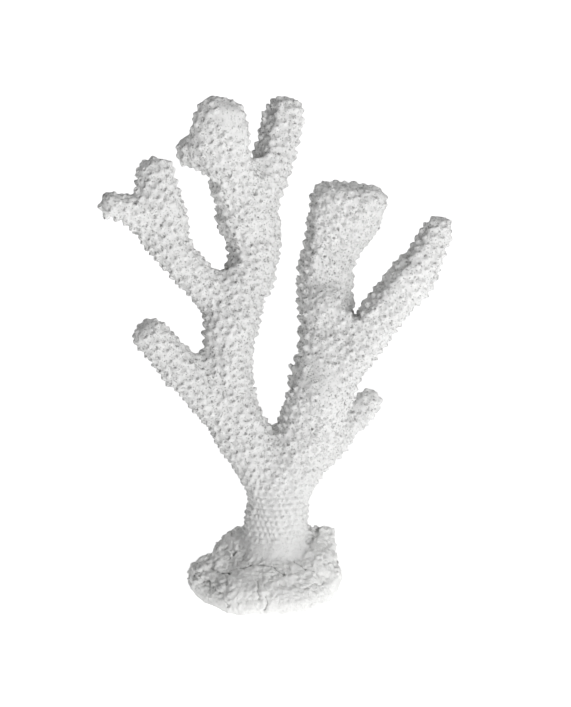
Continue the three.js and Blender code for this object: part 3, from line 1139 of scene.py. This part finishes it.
def add_piece(node, number, parting, material):
    """Makes a closed piece of a solid's share of the skin, which stands for the solid."""
    faces = parting.skin.quads[parting.owners == number]
    points, corners = closed_piece(parting.skin.points, parting.inward, faces)
    mesh, used = mesh_of(node + "_skin", points, corners)
    hidden = len(points) - len(parting.skin.points)
    for name, values in parting.marks.items():
        store(mesh, name, np.concatenate((values, np.ones(hidden)))[used])
    mesh.shade_smooth()
    normals = np.concatenate((parting.normals, np.tile((0.0, 0.0, 1.0), (hidden, 1))))
    mesh.normals_split_custom_set_from_vertices(normals[used].tolist())
    mesh.materials.append(material)
    piece = bpy.data.objects.new(mesh.name, mesh)
    bpy.context.scene.collection.objects.link(piece)
    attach(piece, "root")
    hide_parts(node)


# ---------------------------------------------------------------------------------------------
# Materials
# ---------------------------------------------------------------------------------------------


class Value:
    """A shader socket that holds a number, with arithmetic that adds Math nodes."""

    def __init__(self, nodes, socket):
        self.nodes = nodes
        self.socket = socket

    def _math(self, operation, *inputs):
        made = self.nodes.add("ShaderNodeMath", {"operation": operation}, dict(enumerate(inputs)))
        return Value(self.nodes, made.outputs[0])

    def __add__(self, other):
        return self._math("ADD", self, other)

    def __radd__(self, other):
        return self._math("ADD", other, self)

    def __sub__(self, other):
        return self._math("SUBTRACT", self, other)

    def __rsub__(self, other):
        return self._math("SUBTRACT", other, self)

    def __mul__(self, other):
        return self._math("MULTIPLY", self, other)

    def __rmul__(self, other):
        return self._math("MULTIPLY", other, self)

    def step(self, low, high):
        """0 below low, 1 above high, and a smooth step between them."""
        limits = {"Value": self, "From Min": low, "From Max": high}
        smooth = {"interpolation_type": "SMOOTHSTEP"}
        return Value(self.nodes, self.nodes.add("ShaderNodeMapRange", smooth, limits).outputs[0])


class Nodes:
    """The nodes of a material or of the world, with one method that adds any of them."""

    def __init__(self, owner):
        owner.use_nodes = True
        self.tree = owner.node_tree
        self.tree.nodes.clear()

    def add(self, kind, settings=None, inputs=None):
        """Adds a node, makes its settings, and then sets or links its sockets."""
        made = self.tree.nodes.new(kind)
        for name, setting in (settings or {}).items():
            setattr(made, name, setting)
        for name, given in (inputs or {}).items():
            given = given.socket if isinstance(given, Value) else given
            if isinstance(given, bpy.types.NodeSocket):
                self.tree.links.new(given, made.inputs[name])
            else:
                made.inputs[name].default_value = given
        return made

    def attribute(self, name):
        return Value(self, self.add("ShaderNodeAttribute", {"attribute_name": name}).outputs["Fac"])

    def place(self):
        return self.add("ShaderNodeTexCoord").outputs["Object"]

    def height(self):
        """How far each place is above the floor."""
        parts = self.add("ShaderNodeSeparateXYZ", {}, {"Vector": self.place()})
        return Value(self, parts.outputs["Z"])

    def noise(self, length, detail=2.0, roughness=0.5):
        """Noise about 0.5, with features about length across."""
        inputs = {"Vector": self.place(), "Scale": 1.0 / length}
        inputs |= {"Detail": detail, "Roughness": roughness}
        return Value(self, self.add("ShaderNodeTexNoise", {}, inputs).outputs["Fac"])

    def pores(self, length):
        """Distance from the nearest of many scattered points, as a share of length."""
        inputs = {"Vector": self.place(), "Scale": 1.0 / length}
        return Value(self, self.add("ShaderNodeTexVoronoi", {}, inputs).outputs["Distance"])

    def blend(self, share, one, other):
        """A colour between two colours, which may be sockets."""
        inputs = {MIX_SHARE: share, MIX_ONE: one, MIX_OTHER: other}
        return self.add("ShaderNodeMix", {"data_type": "RGBA"}, inputs).outputs[MIX_RESULT]


MIX_SHARE, MIX_ONE, MIX_OTHER, MIX_RESULT = 0, 6, 7, 2  # a Mix node's sockets for colours


# Lengths of the noises that mark the surface, and heights over which the painted shade and the specks
# low on the trunk rise to full strength.
CLOUDS, BLOTCHES, GRIT, PORES, WRINKLES = 14 * MM, 3.0 * MM, 1.35 * MM, 1.45 * MM, 2.4 * MM
TRUNK_SHADE_FADE = (55 * MM, 110 * MM)


def opaque(colour, brightness=1.0):
    """A colour, made brighter or darker, as the four numbers that a socket takes."""
    return (*(brightness * channel for channel in colour), 1.0)


def skeleton_material(name, finish):
    """Dry bleached skeleton that turns into worn rock where the foot begins, with painted shade in its
    cups, hollows, creases and cracks.
    """
    material = bpy.data.materials.new(name)
    nodes = Nodes(material)
    close, wide = nodes.attribute(CLOSE), nodes.attribute(WIDE)
    rocky, creased = nodes.attribute(ROCKY), nodes.attribute(CREASED)
    cloud = nodes.noise(CLOUDS)
    patch = nodes.noise(BLOTCHES, detail=3.0, roughness=0.6)
    grit = nodes.noise(GRIT, detail=1.5, roughness=0.6)
    pores = 1.0 - nodes.pores(PORES).step(0.14, 0.38)
    specks = grit.step(0.50, 0.64) * patch.step(0.25, 0.60)
    # Painted shade: the colour darkens in the cups' mouths and in the wide hollows between the cups,
    # where the surroundings are crowded.
    pits = close.step(0.50, 0.76)
    deep = wide.step(0.48, 0.68)
    chalk = nodes.blend(cloud.step(0.3, 0.7), opaque(finish.bone, 0.97), opaque(finish.bone, 1.03))
    # The painted shade of the hollows, together with the real specks and pores.
    shade = 0.34 * pits + 0.22 * deep + 0.55 * specks + 0.70 * pores * patch.step(0.34, 0.58)
    # The painted shade and the specks are weaker low on the coral: 0.45 of their strength below the
    # lower height.
    worn = 1.0 - 0.55 * (1.0 - nodes.height().step(*TRUNK_SHADE_FADE))
    bone = nodes.blend((shade * worn).step(0.0, 1.1), chalk, opaque(finish.hollow))
    dust = nodes.blend(cloud.step(0.3, 0.7), opaque(finish.rock, 0.97), opaque(finish.rock, 1.02))
    # Painted shade on the rock: darker in its hollows, in its creases and cracks and in the gap beside
    # the horn, together with the real specks.
    rock_shade_and_specks = 0.3 * close.step(0.54, 0.76) + 0.12 * wide.step(0.52, 0.68) + 0.25 * specks
    rock_shade_and_specks = rock_shade_and_specks + 0.5 * creased.step(0.1, 1.0)
    stone = nodes.blend(rock_shade_and_specks.step(0.0, 1.1), dust, opaque(finish.rock_shade_and_speck_colour))
    colour = nodes.blend(rocky.step(0.2, 0.8), bone, stone)
    wrinkles = nodes.noise(WRINKLES, detail=4.0, roughness=0.65) * rocky.step(0.2, 0.8)
    height = 0.22 * patch - 0.16 * specks - 0.12 * pores + 1.1 * wrinkles
    bump = nodes.add("ShaderNodeBump", {}, {"Height": height, "Distance": finish.grain})
    settings = {"Base Color": colour, "Roughness": finish.roughness, "Specular IOR Level": 0.25}
    surface = nodes.add("ShaderNodeBsdfPrincipled", {}, settings | {"Normal": bump.outputs[0]})
    nodes.add("ShaderNodeOutputMaterial", {}, {"Surface": surface.outputs[0]})
    return material


# ---------------------------------------------------------------------------------------------
# Stage
# ---------------------------------------------------------------------------------------------


CAMERA_TARGET = (0.012, 0.0, 0.1484)
BRIGHT_SIDE = (0.5, -0.6, 0.85)
ROOM_SPREAD = (-0.6, 0.9)  # along the bright side, from the dark end to the bright one
KEY_PLACE, KEY_SIZE = (1.0, -1.4, 0.4), 0.9
BACK_PLACE, BACK_SIZE = (0.2, 1.3, 0.9), 0.9
SWEEP_FRONT, SWEEP_BACK, SWEEP_WIDTH = 7.0, 1.6, 7.0
SWEEP_RADIUS, SWEEP_HEIGHT, SWEEP_STEPS = 0.8, 2.4, 24


def floor_material(studio):
    """A plain pale floor that gives off a little light, so that it stays even."""
    material = bpy.data.materials.new("pale_floor")
    nodes = Nodes(material)
    inputs = {"Base Color": opaque(studio.floor), "Roughness": 0.9, "Specular IOR Level": 0.1}
    glow = {"Emission Color": (1.0, 1.0, 1.0, 1.0), "Emission Strength": studio.glow}
    surface = nodes.add("ShaderNodeBsdfPrincipled", {}, inputs | glow)
    nodes.add("ShaderNodeOutputMaterial", {}, {"Surface": surface.outputs[0]})
    return material


def add_floor(studio):
    """A wide floor that curves up into a wall behind the coral."""
    turns = [math.radians(90 * k / SWEEP_STEPS) for k in range(SWEEP_STEPS + 1)]
    curve = [(SWEEP_BACK + SWEEP_RADIUS * math.sin(t), SWEEP_RADIUS * (1 - math.cos(t))) for t in turns]
    profile = [(-SWEEP_FRONT, 0.0), *curve, (SWEEP_BACK + SWEEP_RADIUS, SWEEP_HEIGHT)]
    corners = [(side * SWEEP_WIDTH, y, z) for y, z in profile for side in (-1, 1)]
    faces = [(2 * k, 2 * k + 1, 2 * k + 3, 2 * k + 2) for k in range(len(profile) - 1)]
    mesh = bpy.data.meshes.new("floor")
    mesh.from_pydata(corners, [], faces)
    mesh.shade_smooth()
    mesh.materials.append(floor_material(studio))
    floor = bpy.data.objects.new("floor", mesh)
    bpy.context.scene.collection.objects.link(floor)


def add_light(name, place, target, size, power):
    """A round soft light that looks at a target, and isn't seen itself."""
    light = bpy.data.lights.new(name, "AREA")
    light.shape = "DISK"
    light.size = size
    light.energy = power
    lamp = bpy.data.objects.new(name, light)
    lamp.location = place
    lamp.rotation_euler = (target - place).to_track_quat("-Z", "Y").to_euler()
    lamp.visible_camera = False
    bpy.context.scene.collection.objects.link(lamp)


def add_room(studio):
    """Soft light from all round, bright above the front right and dark at the back left."""
    world = bpy.data.worlds.new("room")
    bpy.context.scene.world = world
    nodes = Nodes(world)
    way = nodes.add("ShaderNodeTexCoord").outputs["Generated"]
    dot = {"operation": "DOT_PRODUCT"}
    towards = nodes.add("ShaderNodeVectorMath", dot, {0: way, 1: BRIGHT_SIDE})
    share = Value(nodes, towards.outputs["Value"]).step(*ROOM_SPREAD)
    light = nodes.blend(share, opaque((1, 1, 1), studio.room_dark), opaque((1, 1, 1), studio.room))
    background = nodes.add("ShaderNodeBackground", {}, {"Color": light, "Strength": 1.0})
    nodes.add("ShaderNodeOutputWorld", {}, {"Surface": background.outputs[0]})


def add_camera(studio):
    """The camera in front of the coral, a little above it."""
    target = Vector(CAMERA_TARGET)
    rise = studio.camera_rise
    back = Vector((0.0, -math.cos(rise), math.sin(rise)))
    lens = bpy.data.cameras.new("camera")
    lens.lens = studio.lens
    lens.sensor_width = 36.0
    camera = bpy.data.objects.new("camera", lens)
    camera.location = target + studio.camera_distance * back
    camera.rotation_euler = (-back).to_track_quat("-Z", "Y").to_euler()
    bpy.context.scene.collection.objects.link(camera)
    bpy.context.scene.camera = camera


# ---------------------------------------------------------------------------------------------
# Operators
# ---------------------------------------------------------------------------------------------


class CORAL_OT_sculpt_skin(Operator):
    """Sculpts one skin over every solid, and keeps it as a mesh for the pieces"""

    bl_idname = "coral.sculpt_skin"
    bl_label = "Sculpt Skin"

    def execute(self, context):
        scene = context.scene
        field, soup, owners, cups = sculpt(scene.coral_skin, scene.coral_cups, scene.coral_foot)
        skin = largest_part(field.skin())
        corners = skin.corners()
        centres = skin.points[corners].mean(axis=1)
        nearest = owners_with_cups(centres, soup, owners, cups)
        # How deep the creases, the cracks and the gap beside the horn are, which sets the painted shade
        # in them.
        creased = rock_creases(skin.points)[1] * rockiness(skin.points)
        creased = np.maximum(0.7 * creased, crack_depths(skin.points, soup, scene.coral_foot))
        store_skin(skin, field, clean_owners(nearest, corners), creased)
        return {"FINISHED"}


class CORAL_OT_add_branches(Operator):
    """Makes the trunk and the branches, each from its own part of the skin"""

    bl_idname = "coral.add_branches"
    bl_label = "Add Branches"

    def execute(self, context):
        material = skeleton_material("bleached_skeleton", context.scene.coral_finish)
        parting = kept_parting()
        for number, node in enumerate(LIMBS, start=1):
            add_piece(node, number, parting, material)
        return {"FINISHED"}


class CORAL_OT_add_foot(Operator):
    """Makes the rocky foot from the skin"""

    bl_idname = "coral.add_foot"
    bl_label = "Add Foot"

    def execute(self, context):
        material = skeleton_material("worn_rock", context.scene.coral_finish)
        add_piece(FOOT, 0, kept_parting(), material)
        bpy.data.meshes.remove(bpy.data.meshes[SKIN])
        return {"FINISHED"}


class CORAL_OT_set_stage(Operator):
    """Sets the floor, the lights and the camera"""

    bl_idname = "coral.set_stage"
    bl_label = "Set Stage"

    def execute(self, context):
        studio = context.scene.coral_studio
        context.scene.view_settings.view_transform = "Standard"
        add_floor(studio)
        add_room(studio)
        middle = Vector(CAMERA_TARGET)
        add_light("key_light", Vector(KEY_PLACE), middle, KEY_SIZE, studio.key)
        add_light("back_light", Vector(BACK_PLACE), middle, BACK_SIZE, studio.back)
        add_camera(studio)
        return {"FINISHED"}


class CORAL_PT_coral(Panel):
    """The coral's sizes and the steps that make it"""

    bl_idname = "CORAL_PT_coral"
    bl_label = "Staghorn Coral"
    bl_space_type = "VIEW_3D"
    bl_region_type = "UI"
    bl_category = "Coral"

    def draw(self, context):
        for operator, groups in STEPS:
            box = self.layout.box()
            for group in groups:
                settings = getattr(context.scene, group)
                for name in settings.__annotations__:
                    box.prop(settings, name)
            box.operator(operator.bl_idname)


STEPS = (
    (CORAL_OT_sculpt_skin, ("coral_skin", "coral_cups", "coral_foot")),
    (CORAL_OT_add_branches, ("coral_finish",)),
    (CORAL_OT_add_foot, ()),
    (CORAL_OT_set_stage, ("coral_studio",)),
)
GROUPS = {
    "coral_skin": SkinSizes,
    "coral_cups": CupSizes,
    "coral_foot": FootSizes,
    "coral_finish": Finish,
    "coral_studio": Studio,
}
CLASSES = (*GROUPS.values(), *(operator for operator, _ in STEPS), CORAL_PT_coral)


def register():
    for one in CLASSES:
        bpy.utils.register_class(one)
    for name, group in GROUPS.items():
        setattr(bpy.types.Scene, name, PointerProperty(type=group))


def unregister():
    for name in GROUPS:
        delattr(bpy.types.Scene, name)
    for one in reversed(CLASSES):
        bpy.utils.unregister_class(one)


def main():
    register()
    bpy.ops.coral.sculpt_skin()
    bpy.ops.coral.add_branches()
    bpy.ops.coral.add_foot()
    bpy.ops.coral.set_stage()
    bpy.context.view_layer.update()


if __name__ == "__main__":
    main()
